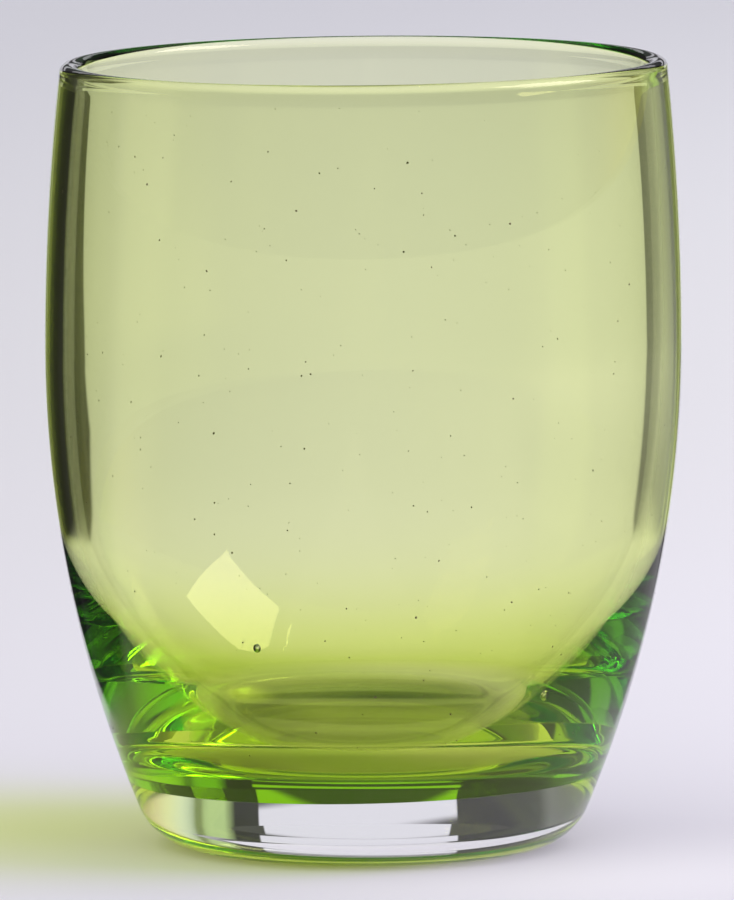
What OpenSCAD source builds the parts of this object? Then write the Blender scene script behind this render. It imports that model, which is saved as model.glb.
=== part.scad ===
// A barrel-shaped tumbler in two glasses: a cup of glass that is green all through, joined at a
// flat seam to a base of clear glass. The seam leans a little, as it does on the real one.
// The origin is on the table under the middle of the base, and the cup opens upwards.

/* [Outside] */
// Height from the table to the crown of the lip
glass_h = 100; // [85:1:120]
// Widest diameter, at the belly
belly_d = 80.9; // [74:0.1:95]
// Height of the widest ring above the table
belly_h = 64; // [52:1:76]
// How far the side draws in from the belly up to the crown of the lip
lip_in = 2; // [0.5:0.1:6]
// How far the side would draw in from the belly down to the table if it had no rounded heel
foot_in = 14; // [9:0.1:18]
// Radius of the rounded heel
heel_r = 8; // [4:0.5:11]

/* [Inside] */
// Thickness of the wall, from the lip down to where it starts to thicken
wall_t = 2.3; // [1.6:0.1:4]
// Height at which the wall starts to thicken towards the bottom
even_h = 41; // [34:0.5:50]
// Radius of the inner side where the wall thickens
thicken_r = 49; // [42:0.5:70]
// Radius of the corner between the inner side and the floor of the cup
corner_r = 12; // [6:0.5:18]
// Height of the floor's middle above the table
floor_h = 12.3; // [11:0.1:18]
// Radius of the floor, which is nearly flat
floor_r = 600; // [120:10:900]

/* [Base] */
// Height of the seam between the two glasses, on the axis of the cup
seam_h = 9.1; // [7:0.1:10]
// Lean of the seam in degrees, falling to the left as seen from the front
seam_lean = 1.3; // [0:0.1:3]
// Width of the flat ring that the glass stands on
rest_w = 1.8; // [1:0.1:5]
// Depth of the hollow inside that ring, at its middle
hollow_deep = 0.3; // [0.2:0.1:2]

/* [Smoothness] */
// How far a straight step of the outline may stray from its curve
stray = 0.006; // [0.004:0.001:0.02]

/* [Hidden] */
$fn = 96;
// Angles of the directions straight down and straight up
down = -90;
up = 90;

// Radius of a curve that starts out straight and drifts aside by drift over a length of run
function curve_radius(run, drift) = (run ^ 2 + drift ^ 2) / (2 * drift);

// Short side of a right triangle, from its long side and its other side
function leg(long_side, side) = sqrt(long_side ^ 2 - side ^ 2);

// The point at a distance from another, in the direction of an angle
function off(point, distance, angle) = point + distance * [cos(angle), sin(angle)];

// Direction of one point as seen from another
function aim(from, to) = atan2(to.y - from.y, to.x - from.x);

// The point at distance a from point p and at distance b from point q, on the right going from p to q
function meet_right(p, a, q, b) =
    let (
        apart = norm(q - p),
        along = (a ^ 2 - b ^ 2 + apart ^ 2) / (2 * apart)
    )
    off(p, a, aim(p, q) - acos(along / a));

// Points of an arc from one angle up to, and without, another
function arc(centre, radius, from, to) =
    let (steps = ceil(abs(to - from) / (2 * acos(1 - stray / radius))))
    [for (i = [0 : steps - 1]) off(centre, radius, from + (to - from) * i / steps)];

// The side: two arcs, above and below the belly, that are both upright there
belly_r = belly_d / 2;
upper_r = curve_radius(glass_h - belly_h, lip_in);
lower_r = curve_radius(belly_h, foot_in);
upper_c = [belly_r - upper_r, belly_h];
lower_c = [belly_r - lower_r, belly_h];

// The heel: an arc that runs into the side and into the table without a corner
heel_c = [lower_c.x + leg(lower_r - heel_r, belly_h - heel_r), heel_r];
heel_lean = asin((belly_h - heel_r) / (lower_r - heel_r));

// The lip: half a round on the end of the wall
lip_r = wall_t / 2;
lip_c = [upper_c.x + leg(upper_r - lip_r, glass_h - lip_r - belly_h), glass_h - lip_r];
lip_lean = asin((lip_c.y - belly_h) / (upper_r - lip_r));

// The inner side: it keeps the wall's thickness down to even_h and then turns in faster
even_lean = asin((belly_h - even_h) / (lower_r - wall_t));
thicken_c = off(lower_c, lower_r - wall_t - thicken_r, -even_lean);

// The floor of the cup, and the corner arc that touches both it and the inner side
floor_c = [0, floor_h + floor_r];
corner_c = meet_right(thicken_c, thicken_r - corner_r, floor_c, floor_r - corner_r);
corner_top = aim(thicken_c, corner_c);
corner_end = aim(floor_c, corner_c);

// The hollow under the base: the cap of a large ball, inside the ring that the glass stands on
hollow_edge = heel_c.x - rest_w;
hollow_r = curve_radius(hollow_edge, hollow_deep);
hollow_half = asin(hollow_edge / hollow_r);

// The outer surface, from the table over the lip
function outer_points() = concat(
    arc(heel_c, heel_r, down, -heel_lean),
    arc(lower_c, lower_r, -heel_lean, 0),
    arc(upper_c, upper_r, 0, lip_lean),
    arc(lip_c, lip_r, lip_lean, lip_lean + up - down)
);

// The inside of the cup, from the lip down to the middle of the floor
function inner_points() = concat(
    arc(upper_c, upper_r - wall_t, lip_lean, 0),
    arc(lower_c, lower_r - wall_t, 0, -even_lean),
    arc(thicken_c, thicken_r, -even_lean, corner_top),
    arc(corner_c, corner_r, corner_top, corner_end),
    arc(floor_c, floor_r, corner_end, down),
    [[0, floor_h]]
);

function hollow_points() = concat(
    arc([0, hollow_deep - hollow_r], hollow_r, up, up - hollow_half),
    [[hollow_edge, 0]]
);

module whole_glass() {
    rotate_extrude()
    polygon(concat(outer_points(), inner_points(), hollow_points()));
}

// Everything below the seam
module under_seam() {
    translate([0, 0, seam_h])
    rotate([0, -seam_lean, 0])
    translate([-belly_d, -belly_d, -belly_d])
    cube([2 * belly_d, 2 * belly_d, belly_d]);
}

module green_cup() {
    color([0.62, 0.78, 0.2, 0.6])
    difference() {
        whole_glass();
        under_seam();
    }
}

module clear_base() {
    color([0.9, 0.93, 0.92, 0.4])
    intersection() {
        whole_glass();
        under_seam();
    }
}

green_cup();
clear_base();
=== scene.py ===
import bpy
import math
import random
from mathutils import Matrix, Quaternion, Vector


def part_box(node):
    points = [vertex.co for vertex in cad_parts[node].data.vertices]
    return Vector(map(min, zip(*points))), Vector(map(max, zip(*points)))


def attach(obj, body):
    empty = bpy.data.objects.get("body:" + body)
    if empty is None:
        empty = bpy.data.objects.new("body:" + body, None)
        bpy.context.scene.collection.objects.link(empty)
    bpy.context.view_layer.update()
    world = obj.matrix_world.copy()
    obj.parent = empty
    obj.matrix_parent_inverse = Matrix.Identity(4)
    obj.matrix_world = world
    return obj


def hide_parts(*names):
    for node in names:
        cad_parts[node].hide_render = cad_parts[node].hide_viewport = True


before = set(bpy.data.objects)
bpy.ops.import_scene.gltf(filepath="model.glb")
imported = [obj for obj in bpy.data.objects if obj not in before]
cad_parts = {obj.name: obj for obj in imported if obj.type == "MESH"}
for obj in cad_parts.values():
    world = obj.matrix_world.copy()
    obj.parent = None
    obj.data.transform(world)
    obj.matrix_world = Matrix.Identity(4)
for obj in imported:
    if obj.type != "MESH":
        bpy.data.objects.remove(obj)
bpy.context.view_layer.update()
mm = 0.001
print("loaded", sorted(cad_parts))

# Sizes are in millimetres and angles in degrees, except where a note says otherwise.
# The height and the belly come from the frame, the rest is the shape of the section.
cupLow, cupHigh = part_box("green_cup")
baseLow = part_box("clear_base")[0]
cup = {
    "height": (cupHigh[2] - baseLow[2]) / mm,
    "bellyRadius": (cupHigh[0] - cupLow[0]) / 2 / mm,
    "bellyHeight": 64.0,
    "lipIn": 2.0,  # how far the side draws in from the belly up to the lip
    "footIn": 14.0,  # and how far it would draw in down to the table without the heel
    "wall": 2.3,
    "evenHeight": 41.0,  # the wall thickens below this height
    "thickenRadius": 49.0,
    "cornerRadius": 12.0,
    "floorHeight": 12.3,
    "floorRadius": 600.0,
    "bead": 0.16,  # how much thicker the lip is than the wall, on the inside
    "beadHeight": 2.6,
    "lipLean": 0.59,  # falls to the left
    "leanPower": 3,  # the lean grows with this power of the height, so the foot stays flat
    "insideShift": -0.4,  # the floor of the cup sits this far from the axis, to the left
    "ripple": 0.05,  # unevenness of the inside near its floor
    # It is made of waves: how many go round, how high, where they start, and their turn with height
    "waves": [(2, 1.0, 0.6, 0.0), (3, 0.6, 0.0, 0.25), (5, 0.35, 0.0, -0.3)],
    "takenPerMm": (0.0222, 0.0065, 0.15),  # share of red, green and blue light that a millimetre takes
    "glint": (1.0, 0.95, 0.55),  # colour of what it mirrors
    "turns": 288,  # points round the glass
}
base = {
    "heelRadius": 8.0,
    "restWidth": 1.8,
    "hollowDepth": 0.3,
    "seamHeight": 9.1,
    "seamLean": 1.3,  # falls to the left
    "bondGap": 0.02,
    "glint": (1.0, 1.0, 1.0),
}
# Straight steps along each stretch of the section, from the middle of the foot over the lip
steps = {
    "hollow": 24,
    "heel": 24,
    "heelToSeam": 8,
    "seam": 12,
    "seamToBelly": 48,
    "bellyToLip": 24,
    "lip": 28,
    "innerUpper": 60,
    "innerEven": 16,
    "thicken": 28,
    "corner": 28,
    "floor": 16,
}


def curveRadius(run, drift):
    # Radius of a curve that starts out straight and drifts aside by drift over a length of run
    return (run ** 2 + drift ** 2) / (2 * drift)


def off(point, distance, angle):
    return (point[0] + distance * math.cos(angle), point[1] + distance * math.sin(angle))


def aim(start, end):
    return math.atan2(end[1] - start[1], end[0] - start[0])


def meetRight(p, a, q, b):
    # The point at distance a from p and b from q, on the right going from p to q
    apart = math.dist(p, q)
    along = (a ** 2 - b ** 2 + apart ** 2) / (2 * apart)
    return off(p, a, aim(p, q) - math.acos(along / a))


def between(low, high, count):
    # Even steps from low up to, and without, high
    return [low + (high - low) * i / count for i in range(count)]


def arc(centre, radius, start, end, count):
    return [off(centre, radius, angle) for angle in between(start, end, count)]


def clamped(value):
    return max(0.0, min(1.0, value))


def eased(share):
    # From 0 to 1 with a soft start and a soft end
    return share ** 2 * (3 - 2 * share)


class Section:
    # The glass's section as arcs: points are (radius, height), and angles here are in radians
    def __init__(self):
        belly, high, wall, heel = cup["bellyRadius"], cup["bellyHeight"], cup["wall"], base["heelRadius"]
        self.upper = curveRadius(cup["height"] - high, cup["lipIn"])
        self.lower = curveRadius(high, cup["footIn"])
        self.upperCentre = (belly - self.upper, high)
        self.lowerCentre = (belly - self.lower, high)
        reach = self.lower - heel
        self.heelCentre = (self.lowerCentre[0] + math.sqrt(reach ** 2 - (high - heel) ** 2), heel)
        self.heelLean = math.asin((high - heel) / reach)
        self.lip = wall / 2
        lipHigh = cup["height"] - self.lip
        lipReach = self.upper - self.lip
        self.lipCentre = (self.upperCentre[0] + math.sqrt(lipReach ** 2 - (lipHigh - high) ** 2), lipHigh)
        self.lipLean = math.asin((lipHigh - high) / lipReach)
        self.evenLean = math.asin((high - cup["evenHeight"]) / (self.lower - wall))
        self.thickenCentre = off(self.lowerCentre, self.lower - wall - cup["thickenRadius"], -self.evenLean)
        self.floorCentre = (0.0, cup["floorHeight"] + cup["floorRadius"])
        self.cornerCentre = meetRight(self.thickenCentre, cup["thickenRadius"] - cup["cornerRadius"],
                                      self.floorCentre, cup["floorRadius"] - cup["cornerRadius"])
        self.cornerTop = aim(self.thickenCentre, self.cornerCentre)
        self.cornerEnd = aim(self.floorCentre, self.cornerCentre)
        self.hollowEdge = self.heelCentre[0] - base["restWidth"]
        self.hollow = curveRadius(self.hollowEdge, base["hollowDepth"])

    def side(self, z):
        # Radius of the outer side between the heel and the lip
        if z >= cup["bellyHeight"]:
            centre, radius = self.upperCentre, self.upper
        else:
            centre, radius = self.lowerCentre, self.lower
        return centre[0] + math.sqrt(radius ** 2 - (z - centre[1]) ** 2)

    def outerCup(self, edge):
        lipFoot = off(self.lipCentre, self.lip, self.lipLean)[1]
        row = [(self.side(z), z) for z in between(edge, cup["bellyHeight"], steps["seamToBelly"])]
        row += [(self.side(z), z) for z in between(cup["bellyHeight"], lipFoot, steps["bellyToLip"])]
        return row + arc(self.lipCentre, self.lip, self.lipLean, self.lipLean + math.pi, steps["lip"])

    def innerCup(self):
        row = arc(self.upperCentre, self.upper - cup["wall"], self.lipLean, 0, steps["innerUpper"])
        row += arc(self.lowerCentre, self.lower - cup["wall"], 0, -self.evenLean, steps["innerEven"])
        row += arc(self.thickenCentre, cup["thickenRadius"], -self.evenLean, self.cornerTop, steps["thicken"])
        row += arc(self.cornerCentre, cup["cornerRadius"], self.cornerTop, self.cornerEnd, steps["corner"])
        return row + arc(self.floorCentre, cup["floorRadius"], self.cornerEnd, -math.pi / 2, steps["floor"])

    def outerBase(self, edge):
        up, half = math.pi / 2, math.asin(self.hollowEdge / self.hollow)
        hollowCentre = (0.0, base["hollowDepth"] - self.hollow)
        heelTop = off(self.heelCentre, base["heelRadius"], -self.heelLean)[1]
        row = arc(hollowCentre, self.hollow, up, up - half, steps["hollow"])[1:]
        row += [(self.hollowEdge, 0.0)]
        row += arc(self.heelCentre, base["heelRadius"], -up, -self.heelLean, steps["heel"])
        return row + [(self.side(z), z) for z in between(heelTop, edge, steps["heelToSeam"])]


section = Section()
print("section made, corner centre", [round(c, 2) for c in section.cornerCentre])


def seamAt(r, turn, lift):
    return base["seamHeight"] + lift + r * math.cos(turn) * math.tan(math.radians(base["seamLean"]))


def edgeAt(turn, lift):
    # Height at which the seam comes out of the side at one turn round the glass
    tries = 4  # each try is nearer, and these are enough
    z = base["seamHeight"]
    for _ in range(tries):
        z = seamAt(section.side(z), turn, lift)
    return z


def leaned(x, y, z):
    # The upper part leans a little, the seam and the foot stay
    share = (z / cup["height"]) ** cup["leanPower"]
    return (x * mm, y * mm, (z + x * math.tan(math.radians(cup["lipLean"])) * share) * mm)


def uneven(r, z, turn):
    # The inside sits a little off the axis and ripples towards its floor, as in glass shaped by hand
    share = clamped(1 - z / cup["bellyHeight"])
    low = share ** 2 * clamped(r / cup["cornerRadius"])
    ripple = 0.0
    for count, height, start, twist in cup["waves"]:
        ripple += height * math.sin(count * turn + start + twist * z)
    grown = r + cup["ripple"] * low * ripple
    return (grown * math.cos(turn) + cup["insideShift"] * share, grown * math.sin(turn), z)


def beaded(r, z):
    # Thickens the lip inwards into a slight bead
    if z <= cup["bellyHeight"]:
        return r, z
    lipHigh = cup["height"] - section.lip
    share = clamped(1 - (lipHigh - z) / (cup["beadHeight"] - section.lip))
    across = clamped((section.side(min(z, lipHigh)) - r) / cup["wall"])
    return r - cup["bead"] * across * eased(share), z


def placed(name, data):
    # Puts a new object with this data into the scene
    made = bpy.data.objects.new(name, data)
    bpy.context.scene.collection.objects.link(made)
    return made


class Shell:
    # Points and faces of one mesh, with a bond mark and a material number for each face
    def __init__(self):
        self.points, self.faces, self.bonded, self.slots = [], [], [], []

    def face(self, corners, bonded=0.0, slot=0):
        self.faces.append(corners)
        self.bonded.append(bonded)
        self.slots.append(slot)

    def turned(self, rows, marks, first, last):
        # Rows of points round the axis, joined side by side and closed with a point at either end
        start, turns, rings = len(self.points), len(rows), len(rows[0])
        for row in rows:
            self.points += row
        self.points += [first, last]
        for t in range(turns):
            a, b = start + t * rings, start + (t + 1) % turns * rings
            for k in range(rings - 1):
                self.face((a + k, b + k, b + k + 1, a + k + 1), marks[k])
            self.face((b, a, len(self.points) - 2), marks[0])
            self.face((a + rings - 1, b + rings - 1, len(self.points) - 1), marks[-1])

    def piece(self, name, materials, sharpFrom=40):
        # Edges that turn by more than sharpFrom degrees stay crisp
        mesh = bpy.data.meshes.new(name)
        mesh.from_pydata(self.points, [], self.faces)
        mesh.update()
        mesh.attributes.new("bonded", "FLOAT", "FACE").data.foreach_set("value", self.bonded)
        mesh.polygons.foreach_set("material_index", self.slots)
        mesh.shade_smooth()
        mesh.set_sharp_from_angle(angle=math.radians(sharpFrom))
        for material in materials:
            mesh.materials.append(material)
        return placed(name, mesh)


def cupShell():
    shell, lift, rows = Shell(), base["bondGap"] / 2, []
    inner = [beaded(r, z) for r, z in section.innerCup()]
    for turn in between(0, 2 * math.pi, cup["turns"]):
        edge = edgeAt(turn, lift)
        under = [(r, seamAt(r, turn, lift)) for r in between(0, section.side(edge), steps["seam"])[1:]]
        outer = [beaded(r, z) for r, z in section.outerCup(edge)]
        row = [leaned(r * math.cos(turn), r * math.sin(turn), z) for r, z in under + outer]
        rows.append(row + [leaned(*uneven(r, z, turn)) for r, z in inner])
    bonded = steps["seam"] - 1
    marks = [1.0] * bonded + [0.0] * (len(rows[0]) - bonded)
    first = leaned(0, 0, base["seamHeight"] + lift)
    last = leaned(cup["insideShift"], 0, cup["floorHeight"])
    shell.turned(rows, marks, first, last)
    return shell


def baseShell():
    shell, lift, rows = Shell(), -base["bondGap"] / 2, []
    for turn in between(0, 2 * math.pi, cup["turns"]):
        edge = edgeAt(turn, lift)
        outer = section.outerBase(edge)
        over = [(r, seamAt(r, turn, lift)) for r in between(section.side(edge), 0, steps["seam"])]
        rows.append([(r * math.cos(turn) * mm, r * math.sin(turn) * mm, z * mm) for r, z in outer + over])
    marks = [0.0] * (len(rows[0]) - steps["seam"]) + [1.0] * steps["seam"]
    shell.turned(rows, marks, (0, 0, base["hollowDepth"] * mm), (0, 0, (base["seamHeight"] + lift) * mm))
    return shell


# Bubbles of gas in the glass: depth is how far their middles lie below the surface
seeds = {
    "stretch": 1.15,  # taller than wide by this
    "rings": 16,
    "turns": 24,
    "places": [
        {"turn": 248.0, "height": 29.2, "depth": 1.6, "radius": 0.5},
        {"turn": 313.0, "height": 22.3, "depth": 2.2, "radius": 0.6},
    ],
}
# Crumbs of dust on the outside
specks = {
    "count": 420,
    "smallest": 0.06,
    "largest": 0.18,
    "rareness": 3,  # the higher this is, the fewer are large
    "low": 14.0,
    "high": 94.0,
    "corners": 6,
    "outline": (0.6, 1.3),  # their corners lie this far out, for a radius of 1
    "thickness": 0.4,  # each way, for a radius of 1
    "seed": 7,
}


def onSide(turn, z, depth):
    r = section.side(z) - depth
    return leaned(r * math.cos(turn), r * math.sin(turn), z)


def addBubble(shell, centre, radius):
    # A round hollow inside the glass: its faces look inwards
    start, rings, turns = len(shell.points), seeds["rings"], seeds["turns"]
    for i in range(1, rings):
        up, out = math.cos(math.pi * i / rings), math.sin(math.pi * i / rings)
        for a in between(0, 2 * math.pi, turns):
            way = Vector((out * math.cos(a), out * math.sin(a), seeds["stretch"] * up))
            shell.points.append(tuple(Vector(centre) + way * radius * mm))
    for end in (1, -1):
        shell.points.append(tuple(Vector(centre) + Vector((0, 0, end * seeds["stretch"] * radius * mm))))
    top, bottom = len(shell.points) - 2, len(shell.points) - 1
    for t in range(turns):
        n = (t + 1) % turns
        shell.face((start + n, start + t, top))
        for i in range(rings - 2):
            a = start + i * turns
            shell.face((a + t, a + n, a + turns + n, a + turns + t))
        a = start + (rings - 2) * turns
        shell.face((a + t, a + n, bottom))


def addFlake(shell, centre, outwards, radius, chance):
    # A small flat crumb that lies on the surface
    normal = Vector(outwards)
    side = normal.orthogonal().normalized()
    up = normal.cross(side)
    start, corners = len(shell.points), specks["corners"]
    for a in between(0, 2 * math.pi, corners):
        reach = radius * chance.uniform(*specks["outline"]) * mm
        shell.points.append(tuple(Vector(centre) + side * reach * math.cos(a) + up * reach * math.sin(a)))
    for end in (1, -1):
        shell.points.append(tuple(Vector(centre) + normal * end * specks["thickness"] * radius * mm))
    for c in range(corners):
        n = (c + 1) % corners
        shell.face((start + c, start + n, start + corners), slot=1)
        shell.face((start + n, start + c, start + corners + 1), slot=1)


def addMarks(shell):
    for seed in seeds["places"]:
        addBubble(shell, onSide(math.radians(seed["turn"]), seed["height"], seed["depth"]), seed["radius"])
    chance = random.Random(specks["seed"])
    for _ in range(specks["count"]):
        turn = chance.uniform(0, 2 * math.pi)
        z = chance.uniform(specks["low"], specks["high"])
        share = chance.random() ** specks["rareness"]
        radius = specks["smallest"] + (specks["largest"] - specks["smallest"]) * share
        addFlake(shell, onSide(turn, z, 0.0), (math.cos(turn), math.sin(turn), 0.0), radius, chance)


class Wire:
    # One socket of a node tree, so that shader maths reads as arithmetic
    def __init__(self, graph, socket):
        self.graph, self.socket = graph, socket

    def maths(self, operation, first, second):
        return self.graph.add("ShaderNodeMath", {"operation": operation}, {0: first, 1: second})

    def __add__(self, other):
        return self.maths("ADD", self, other)

    def __sub__(self, other):
        return self.maths("SUBTRACT", self, other)

    def __rsub__(self, other):
        return self.maths("SUBTRACT", other, self)

    def __mul__(self, other):
        return self.maths("MULTIPLY", self, other)

    __radd__ = __add__
    __rmul__ = __mul__


def fillRamp(elements, stops):
    while len(elements) > 1:
        elements.remove(elements[0])
    for i, (place, colour) in enumerate(stops):
        element = elements[0] if i == 0 else elements.new(place)
        element.position = place
        element.color = colour


class Graph:
    # The node tree of a material or of the world
    def __init__(self, owner):
        owner.use_nodes = True
        self.tree = owner.node_tree
        self.tree.nodes.clear()

    def add(self, kind, settings=None, inputs=None, output=0):
        node = self.tree.nodes.new(kind)
        for key, value in (settings or {}).items():
            if key == "stops":
                fillRamp(node.color_ramp.elements, value)
            else:
                setattr(node, key, value)
        for key, value in (inputs or {}).items():
            if isinstance(value, Wire):
                self.tree.links.new(value.socket, node.inputs[key])
            else:
                node.inputs[key].default_value = value
        return Wire(self, node.outputs[output]) if node.outputs else node

    def path(self, kind):
        return self.add("ShaderNodeLightPath", output=kind)


def solid(colour):
    # A colour, or a level of grey, as a socket takes it
    return (colour if isinstance(colour, tuple) else (colour,) * 3) + (1,)


def blend(g, share, first, second):
    return g.add("ShaderNodeMix", {"data_type": "RGBA"}, {0: share, 6: first, 7: second}, output=2)


def tinted(g, tone, share, tint):
    return g.add("ShaderNodeMix", {"data_type": "RGBA", "blend_type": "MULTIPLY"}, {
        0: share, 6: tone, 7: solid(tint)}, output=2)


def stretched(g, value, low, high):
    # 0 up to low and 1 from high, with a soft rise between
    return g.add("ShaderNodeMapRange", {"interpolation_type": "SMOOTHSTEP"}, {0: value, 1: low, 2: high})


glass = {
    "index": 1.5,
    "bondIndex": 1.07,  # how much more the glass bends light than the bond between the two glasses
    "room": 1.02,  # keeps a little of the colour that the glass takes most
}


def glassMaterial(name, glint, taken=None):
    # Clear or coloured glass. Faces marked as bonded bend light only as much as the bond lets them,
    # and lamps shine straight through, tinted by the colour of the glass. The glint colours what it mirrors.
    made = bpy.data.materials.new(name)
    g = Graph(made)
    body = g.add("ShaderNodeBsdfPrincipled", inputs={
        "Base Color": solid(1), "Roughness": 0.0, "IOR": glass["index"], "Transmission Weight": 1.0,
        "Specular Tint": solid(glint)})
    bond = g.add("ShaderNodeBsdfGlass", inputs={
        "Color": solid(1), "Roughness": 0.0, "IOR": glass["bondIndex"]})
    lampPass = g.add("ShaderNodeBsdfTransparent", inputs={"Color": solid(1)})
    bonded = g.add("ShaderNodeAttribute", {"attribute_name": "bonded"}, output="Fac")
    surface = g.add("ShaderNodeMixShader", inputs={0: bonded, 1: body, 2: bond})
    surface = g.add("ShaderNodeMixShader", inputs={0: g.path("Is Shadow Ray"), 1: surface, 2: lampPass})
    outputs = {"Surface": surface}
    if taken:
        density = max(taken) * glass["room"]
        colour = tuple(1 - share / density for share in taken)
        outputs["Volume"] = g.add("ShaderNodeVolumeAbsorption", inputs={
            "Color": solid(colour), "Density": density / mm})
    g.add("ShaderNodeOutputMaterial", inputs=outputs)
    return made


dust = {
    "patchScale": 900.0,
    "patchDetail": 2.0,
    "dark": (0.05, 0.045, 0.02),
    "pale": (0.2, 0.16, 0.08),
    "roughness": 0.9,
}


def dustMaterial():
    made = bpy.data.materials.new("dust")
    g = Graph(made)
    patches = g.add("ShaderNodeTexNoise", inputs={"Scale": dust["patchScale"], "Detail": dust["patchDetail"]})
    tone = blend(g, patches, solid(dust["dark"]), solid(dust["pale"]))
    body = g.add("ShaderNodeBsdfPrincipled", inputs={"Base Color": tone, "Roughness": dust["roughness"]})
    g.add("ShaderNodeOutputMaterial", inputs={"Surface": body})
    return made


def throughGlass(g):
    # 1 for mirrored and refracted light, 0 for what the camera and matt surfaces see
    return g.add("ShaderNodeMath", {"operation": "MAXIMUM"}, {
        0: g.path("Is Glossy Ray"), 1: g.path("Is Transmission Ray")})


def azimuthOf(g, x, y):
    # Degrees to the right of straight behind the glass
    return g.add("ShaderNodeMath", {"operation": "ARCTAN2"}, {0: x, 1: y}) * math.degrees(1)


def byDirection(g, azimuth, levels):
    # Brightness or colour by azimuth, on a ramp that runs from -180 to 180 degrees
    stops = [((at + 180) / 360, solid(level)) for at, level in levels]
    return g.add("ShaderNodeValToRGB", {"stops": stops}, {0: (azimuth + 180) * (1 / 360)})


# A pale card straight behind the glass, with dark slits across it. Its edges are azimuths and
# degrees above level. It goes on over the floor, where each edge is given in metres: how far
# aside it starts, and how much further aside it gets in each metre towards the back.
card = {
    "colour": (0.75, 0.74, 0.81),
    "left": -16.0,
    "right": 18.6,
    "soft": 0.25,
    "top": 20.0,
    "topSoft": 1.5,
    "slits": [(4.8, 6.9), (8.9, 15.0)],
    "slitSoft": 0.3,
    "slitShade": 0.93,
    "floorLeft": [(0.055, 0.12), (0.0, 0.237)],
    "floorRight": (0.045, 0.19),
    "floorSoft": 0.004,
}


def behindCard(g, azimuth, rise):
    # 1 on the card
    soft, slitSoft, topSoft = card["soft"], card["slitSoft"], card["topSoft"]
    shown = stretched(g, azimuth, card["left"] - soft, card["left"] + soft)
    shown = shown * stretched(g, card["right"] - azimuth, -soft, soft)
    for first, last in card["slits"]:
        above = stretched(g, rise, first - slitSoft, first + slitSoft)
        slit = above - stretched(g, rise, last - slitSoft, last + slitSoft)
        shown = shown * (1 - slit * card["slitShade"])
    return shown * stretched(g, card["top"] - rise, -topSoft, topSoft)


def onFloorCard(g, x, y):
    # 1 where the card lies on the floor. On the left the outer one of two edges counts.
    (near, nearSpread), (far, farSpread) = card["floorLeft"]
    left = g.add("ShaderNodeMath", {"operation": "MAXIMUM"}, {
        0: y * nearSpread + near, 1: y * farSpread + far})
    start, spread = card["floorRight"]
    right = y * spread + start
    soft = card["floorSoft"]
    return stretched(g, left + x, -soft, soft) * stretched(g, right - x, -soft, soft)


# A pale sheet, a little bluer further out. Sizes and places on it are in metres.
floor = {
    "near": (0.80, 0.79, 0.82),
    "far": (0.79, 0.78, 0.87),
    "toneReach": (0.2, 1.6),
    "roughness": 0.6,
    "gloss": 0.2,
    "radius": 9.0,
    "corners": 128,
    "drop": 0.05,  # millimetres below the glass
    # What only the glass sees of it: brightness by azimuth, close by and further out
    "nearSides": [(-180, 0.7), (-130, 0.4), (-104, 0.3), (-98, 0.6), (-82, 0.6), (-76, 0.1), (-50, 0.04),
                  (-42, 0.05), (-37, 0.012), (5, 0.012), (9, 0.22), (14, 0.21), (18, 0.11), (23, 0.06),
                  (26, 0.34), (60, 0.33), (80, 0.4), (110, 0.3), (120, 0.3), (128, 0.6), (180, 0.6)],
    "farSides": [(-180, 0.7), (-130, 0.4), (-104, 0.3), (-98, 0.6), (-82, 0.6), (-76, 0.1), (-50, 0.06),
                 (-42, 0.08), (-37, 0.02), (5, 0.02), (10, 0.1), (20, 0.07), (24, 0.12), (27, 0.5),
                 (33, 0.5), (42, 0.6), (60, 0.6), (80, 0.8), (110, 0.9), (125, 0.6), (180, 0.7)],
    "sidesReach": (0.2, 0.6),
    "sidesFrom": (0.06, 0.09),  # they come in over this distance from the glass
    "seenThrough": 0.345,  # where the glass is looked through, the distance counts for this share
    # Soft ovals that multiply its colour, painted light and painted shade: light that the glass has tinted,
    # the shade beneath it, and lighter and darker patches further out
    "paintedLightAndShade": [
        # painted shadow of the glass, tinted green-yellow, to its left
        {"at": (-0.05, 0.014), "half": (0.09, 0.056), "tint": (0.9, 0.96, 0.54)},
        # painted shade beneath the glass, towards the back
        {"at": (0.004, 0.014), "half": (0.018, 0.0125), "tint": (0.2, 0.22, 0.08)},
        # painted shade beneath the left of the foot
        {"at": (-0.013, 0.001), "half": (0.009, 0.02), "tint": (0.5, 0.5, 0.4)},
        # painted light in front of the glass, on the right
        {"at": (0.022, -0.025), "half": (0.06, 0.05), "tint": (1.24, 1.24, 1.2)},
        # painted light, far back on the right
        {"at": (0.35, 0.8), "half": (0.6, 0.9), "tint": (1.35, 1.35, 1.35)},
        # painted shade, further out on the right
        {"at": (0.42, -0.07), "half": (0.5, 0.5), "tint": (0.68, 0.68, 0.66)},
    ],
    # Painted light: an oval of the floor that glows, standing for the light that the cup gathers beneath its
    # left side
    "paintedLightGlow": {"at": (-0.017, 0.0125), "half": (0.006, 0.0075), "colour": (0.4, 0.44, 0.1)},
}


def softSpot(g, place, spot):
    # 1 in the middle of a soft oval on the floor, 0 outside it
    shift = g.add("ShaderNodeVectorMath", {"operation": "SUBTRACT"}, {0: place, 1: spot["at"] + (0,)})
    shift = g.add("ShaderNodeVectorMath", {"operation": "DIVIDE"}, {0: shift, 1: spot["half"] + (1,)})
    away = g.add("ShaderNodeVectorMath", {"operation": "LENGTH"}, {0: shift}, output="Value")
    return 1 - stretched(g, away, 0, 1)


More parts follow.
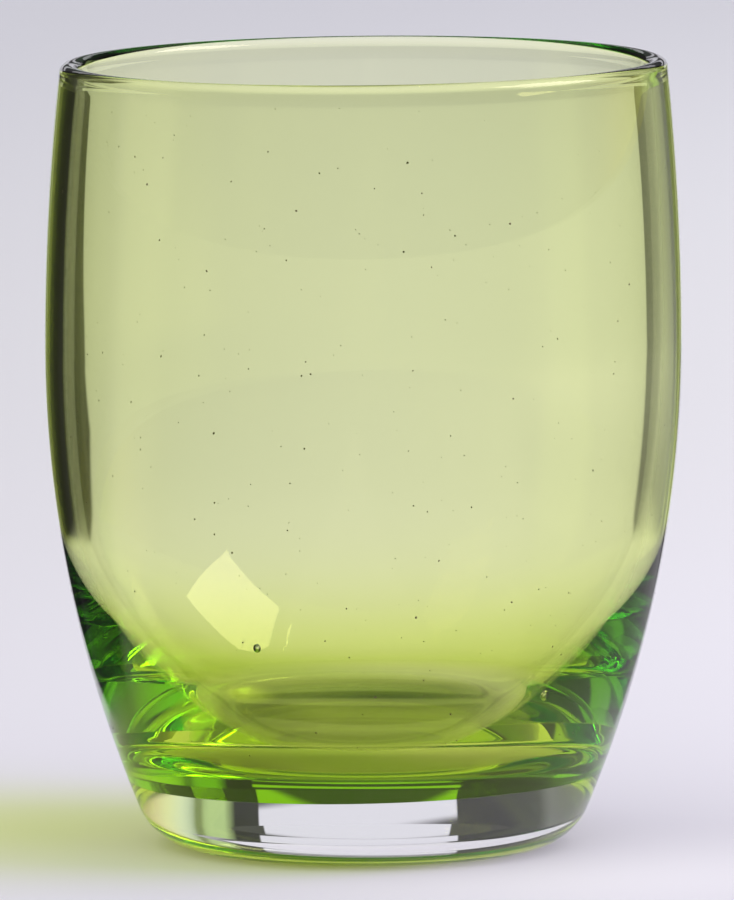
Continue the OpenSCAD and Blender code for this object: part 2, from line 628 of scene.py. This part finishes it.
def floorMaterial():
    made = bpy.data.materials.new("pale_floor")
    g = Graph(made)
    place = g.add("ShaderNodeNewGeometry", output="Position")
    x, y = (g.add("ShaderNodeSeparateXYZ", inputs={0: place}, output=i) for i in (0, 1))
    reach = g.add("ShaderNodeVectorMath", {"operation": "LENGTH"}, {0: place}, output="Value")
    tone = blend(g, stretched(g, reach, *floor["toneReach"]), solid(floor["near"]), solid(floor["far"]))
    # painted light and painted shade, multiplied into the floor's colour
    for spot in floor["paintedLightAndShade"]:
        tone = tinted(g, tone, softSpot(g, place, spot), spot["tint"])
    azimuth = azimuthOf(g, x, y)
    sides = blend(g, stretched(g, reach, *floor["sidesReach"]),
                  byDirection(g, azimuth, floor["nearSides"]), byDirection(g, azimuth, floor["farSides"]))
    counted = reach * (1 - g.path("Is Transmission Ray") * (1 - floor["seenThrough"]))
    aside = (1 - onFloorCard(g, x, y)) * stretched(g, counted, *floor["sidesFrom"])
    tone = blend(g, aside * throughGlass(g), tone, sides)
    # the floor glows in this oval with painted light
    paintedLightGlow = floor["paintedLightGlow"]
    body = g.add("ShaderNodeBsdfPrincipled", inputs={
        "Base Color": tone, "Roughness": floor["roughness"], "Specular IOR Level": floor["gloss"],
        "Emission Color": blend(g, softSpot(g, place, paintedLightGlow), solid(0), solid(paintedLightGlow["colour"])),
        "Emission Strength": 1.0})
    g.add("ShaderNodeOutputMaterial", inputs={"Surface": body})
    return made


def studioFloor():
    mesh = bpy.data.meshes.new("pale_floor")
    corners, reach, z = floor["corners"], floor["radius"], -floor["drop"] * mm
    points = [(0, 0, z)]
    points += [(reach * math.cos(a), reach * math.sin(a), z) for a in between(0, 2 * math.pi, corners)]
    mesh.from_pydata(points, [], [(0, i + 1, (i + 1) % corners + 1) for i in range(corners)])
    made = placed("pale_floor", mesh)
    mesh.materials.append(floorMaterial())


surroundings = {
    "ambient": 0.83,
    "horizonShade": 0.94,  # dims the backdrop to what the floor shows far out
    # What only the glass sees all round, low down and higher up: brightness or colour by azimuth
    "sides": [(-180, 0.12), (-120, 0.08), (-106, 0.08), (-102, 0.5), (-78, 0.5), (-74, 0.06), (-50, 0.1),
              (-42, 0.15), (-37, 0.05), (24, 0.03), (26.5, (0.45, 0.6, 0.25)), (32, (0.45, 0.6, 0.25)),
              (33.5, (0.2, 0.26, 0.1)), (35.5, (0.2, 0.26, 0.1)), (37, (0.5, 0.6, 0.4)),
              (41, (0.7, 0.8, 0.5)), (48, (0.8, 0.84, 0.42)), (56, (0.78, 0.72, 0.36)),
              (70, (0.6, 0.48, 0.2)), (80, (0.3, 0.24, 0.12)), (100, 0.15), (125, 0.08), (180, 0.12)],
    "upperSides": [(-180, 0.15), (-45, 0.12), (-38, 0.05), (60, 0.06), (75, 0.3), (100, 0.2), (180, 0.15)],
    "upperFrom": (11.0, 15.0),  # degrees above level, as is the next
    "overheadFrom": (28.0, 40.0),
    "overhead": 0.25,
}


def studioWorld():
    world = bpy.data.worlds.new("studio")
    bpy.context.scene.world = world
    g = Graph(world)
    direction = g.add("ShaderNodeTexCoord", output="Generated")
    x, y, z = (g.add("ShaderNodeSeparateXYZ", inputs={0: direction}, output=i) for i in range(3))
    rise = g.add("ShaderNodeMath", {"operation": "ARCSINE"}, {0: z}) * math.degrees(1)
    azimuth = azimuthOf(g, x, y)
    seen = blend(g, stretched(g, rise, *surroundings["upperFrom"]),
                 byDirection(g, azimuth, surroundings["sides"]),
                 byDirection(g, azimuth, surroundings["upperSides"]))
    seen = blend(g, behindCard(g, azimuth, rise), seen, solid(card["colour"]))
    seen = blend(g, stretched(g, rise, *surroundings["overheadFrom"]), seen, solid(surroundings["overhead"]))
    ambient = surroundings["ambient"]
    horizon = tuple(c * ambient * surroundings["horizonShade"] for c in floor["far"])
    plain = blend(g, g.path("Is Camera Ray"), solid(ambient), solid(horizon))
    colour = blend(g, throughGlass(g), plain, seen)
    back = g.add("ShaderNodeBackground", inputs={"Color": colour, "Strength": 1.0})
    g.add("ShaderNodeOutputWorld", inputs={"Surface": back})


softbox = {
    "from": (0.772, -0.123, 0.624),
    "away": 0.6,  # metres, as are the next three
    "aimHeight": 0.05,
    "wide": 0.38,
    "high": 0.3,
    "roll": 8,
    "strength": 2.0,  # watts
    "colour": (1.04, 0.96, 1.25),
}


def addSoftbox():
    data = bpy.data.lights.new("softbox", "AREA")
    data.shape = "RECTANGLE"
    data.size = softbox["wide"]
    data.size_y = softbox["high"]
    data.energy = softbox["strength"]
    data.color = softbox["colour"]
    lamp = placed("softbox", data)
    way = Vector(softbox["from"]).normalized()
    lamp.location = Vector((0, 0, softbox["aimHeight"])) + way * softbox["away"]
    turn = Quaternion((0, 0, 1), math.radians(softbox["roll"]))
    lamp.rotation_euler = (way.to_track_quat("Z", "Y") @ turn).to_euler()


view = {
    "distance": 1.8,  # metres, as are the next two
    "aimHeight": 0.0503,
    "aimSide": 0.00046,
    "elevation": 6.4,
    "lens": 566.8,
    "sensor": 36.0,
}


def placeCamera():
    data = bpy.data.cameras.new("camera")
    data.sensor_width = view["sensor"]
    data.lens = view["lens"]
    camera = placed("camera", data)
    lift = math.radians(view["elevation"])
    back = Vector((0, -math.cos(lift), math.sin(lift)))
    camera.location = Vector((view["aimSide"], 0, view["aimHeight"])) + back * view["distance"]
    camera.rotation_euler = back.to_track_quat("Z", "Y").to_euler()
    bpy.context.scene.camera = camera


# How often light may meet the glass before it is given up
bounces = {
    "max_bounces": 64,
    "transmission_bounces": 32,
    "glossy_bounces": 40,
    "transparent_max_bounces": 64,
}

placeCamera()
cupForm = cupShell()
addMarks(cupForm)
greenGlass = glassMaterial("green_glass", cup["glint"], cup["takenPerMm"])
cupPiece = cupForm.piece("green_cup_glass", [greenGlass, dustMaterial()])
basePiece = baseShell().piece("clear_base_glass", [glassMaterial("clear_glass", base["glint"])])
for piece, node, slotName in ((cupPiece, "green_cup", "green_glass"),
                              (basePiece, "clear_base", "clear_glass")):
    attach(piece, "root")
    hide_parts(node)
print("glass made")

studioFloor()
studioWorld()
addSoftbox()
scene = bpy.context.scene
scene.view_settings.view_transform = "Standard"
for kind, most in bounces.items():
    setattr(scene.cycles, kind, most)
scene.cycles.caustics_reflective = False
scene.cycles.caustics_refractive = False
print("studio made")
